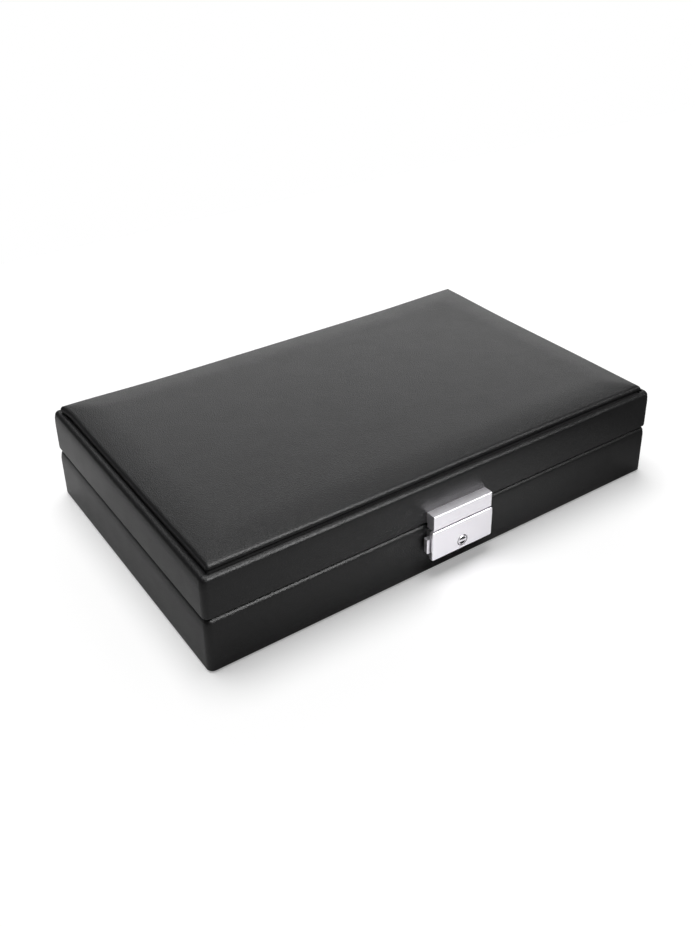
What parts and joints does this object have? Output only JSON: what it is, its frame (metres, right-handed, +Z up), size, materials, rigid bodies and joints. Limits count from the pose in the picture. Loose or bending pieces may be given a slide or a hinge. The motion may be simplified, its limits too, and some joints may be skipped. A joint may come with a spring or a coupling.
{
  "type": "cufflink box",
  "caption": "Flat leather-covered cufflink box with a padded hinged lid, a lift-out tray of cells, storage under the tray and a push-tab case lock on the front.",
  "frame": {"origin": "middle of the underside, on the felt that the box stands on", "axes": "+X to the right along the front, +Y from front to back, +Z up"},
  "size_m": [0.28, 0.1829, 0.0577],
  "materials": {
    "black_leather": "smooth fine-grained black",
    "tab_leather": "smooth black",
    "velour": "short warm grey pile",
    "covered_board": "board covered with warm grey velour",
    "board": "bare board",
    "felt": "black felt",
    "foam": "open foam",
    "nickel": "bright nickel",
    "steel": "plain"
  },
  "bodies": {
    "base": {"base_back_board": "board", "base_bottom_board": "board", "base_felt": "felt", "base_floor_lining": "velour", "base_front_board": "board", "base_hinge_screws": "steel", "base_leather": "black_leather", "base_left_board": "board", "base_right_board": "board", "base_wall_lining": "velour", "catch_spring_left": "steel", "catch_spring_right": "steel", "hinge_left_base_leaf": "nickel", "hinge_left_pin": "steel", "hinge_right_base_leaf": "nickel", "hinge_right_pin": "steel", "lock_case": "nickel", "lock_collar": "steel", "lock_plate": "nickel", "lock_screws": "steel", "lower_partition_left": "covered_board", "lower_partition_right": "covered_board", "tray_ledge_back": "covered_board", "tray_ledge_front": "covered_board", "tray_ledge_left": "covered_board", "tray_ledge_right": "covered_board"},
    "left_tab": {"catch_left": "steel", "push_tab_left": "nickel"},
    "right_tab": {"catch_right": "steel", "push_tab_right": "nickel"},
    "lid": {"hinge_left_lid_leaf": "nickel", "hinge_right_lid_leaf": "nickel", "lid_back_board": "board", "lid_front_board": "board", "lid_hinge_screws": "steel", "lid_leather": "black_leather", "lid_left_board": "board", "lid_pad": "velour", "lid_right_board": "board", "lid_top_board": "board", "lid_wall_lining": "velour", "panel_board": "board", "panel_foam": "foam", "panel_leather": "black_leather", "striker": "nickel", "striker_hooks": "steel", "striker_screws": "steel"},
    "key_plug": {"lock_cam": "steel", "lock_plug": "nickel"},
    "tray": {"tray_cell_pads": "velour", "tray_cross_dividers": "covered_board", "tray_floor": "covered_board", "tray_long_divider_1": "covered_board", "tray_long_divider_2": "covered_board", "tray_pull_tabs": "tab_leather", "tray_wall_back": "covered_board", "tray_wall_front": "covered_board", "tray_wall_left": "covered_board", "tray_wall_right": "covered_board"}
  },
  "joints": [
    {"name": "lid_hinge", "type": "hinge", "parent": "base", "child": "lid", "pos_m": [0, 0.087, 0.02935], "axis": [-1, 0, 0], "range_deg": [0, 95]},
    {"name": "tray_lift", "type": "slide", "parent": "base", "child": "tray", "axis": [0, 0, 1], "range_m": [0, 0.008]},
    {"name": "left_tab_push", "type": "slide", "parent": "base", "child": "left_tab", "axis": [1, 0, 0], "range_m": [0, 0.0018], "stiffness_N_per_m": 200, "springref_m": -0.001, "deforming": ["catch_spring_left"]},
    {"name": "right_tab_push", "type": "slide", "parent": "base", "child": "right_tab", "axis": [-1, 0, 0], "range_m": [0, 0.0018], "stiffness_N_per_m": 200, "springref_m": -0.001, "deforming": ["catch_spring_right"]},
    {"name": "key_turn", "type": "hinge", "parent": "base", "child": "key_plug", "pos_m": [0, -0.0937, 0.01525], "axis": [0, -1, 0], "range_deg": [0, 90]}
  ]
}
